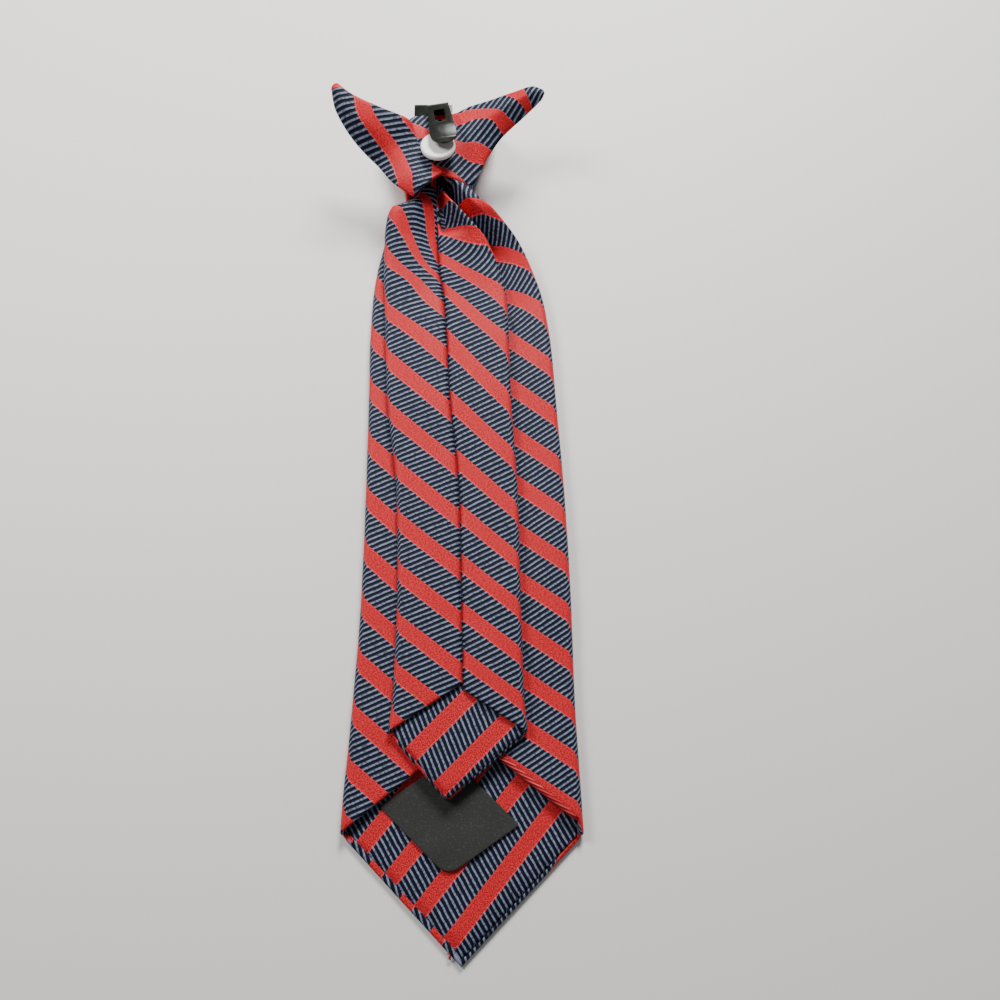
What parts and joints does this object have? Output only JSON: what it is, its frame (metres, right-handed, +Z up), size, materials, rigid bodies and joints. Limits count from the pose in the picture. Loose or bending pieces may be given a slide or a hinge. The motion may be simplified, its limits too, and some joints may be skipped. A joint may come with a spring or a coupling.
{
  "type": "clip-on necktie",
  "caption": "Pre-tied striped necktie with a folded pointed blade, a shorter tail on its back, a winged knot and a bent steel collar clip.",
  "frame": {"origin": "middle of the bounding box, on the surface that the tie lies on", "axes": "+Y from the pointed tip to the knot, +X to the right seen from the back, +Z up out of the tie's back"},
  "size_m": [0.0782, 0.2674, 0.0311],
  "materials": {
    "striped_cloth": "woven satin with ribbed navy and red repp stripes",
    "label_cloth": "matt woven black tape",
    "clip_steel": "black japanned spring steel",
    "pad_plastic": "smooth white plastic"
  },
  "bodies": {
    "root": {"blade_shell": "striped_cloth", "blade_tipping": "striped_cloth", "tail_shell": "striped_cloth", "tail_tipping": "striped_cloth", "care_label": "label_cloth", "knot_wrap": "striped_cloth", "wing_right": "striped_cloth", "wing_left": "striped_cloth", "clip_hook": "clip_steel", "clip_pad": "pad_plastic"}
  },
  "joints": []
}
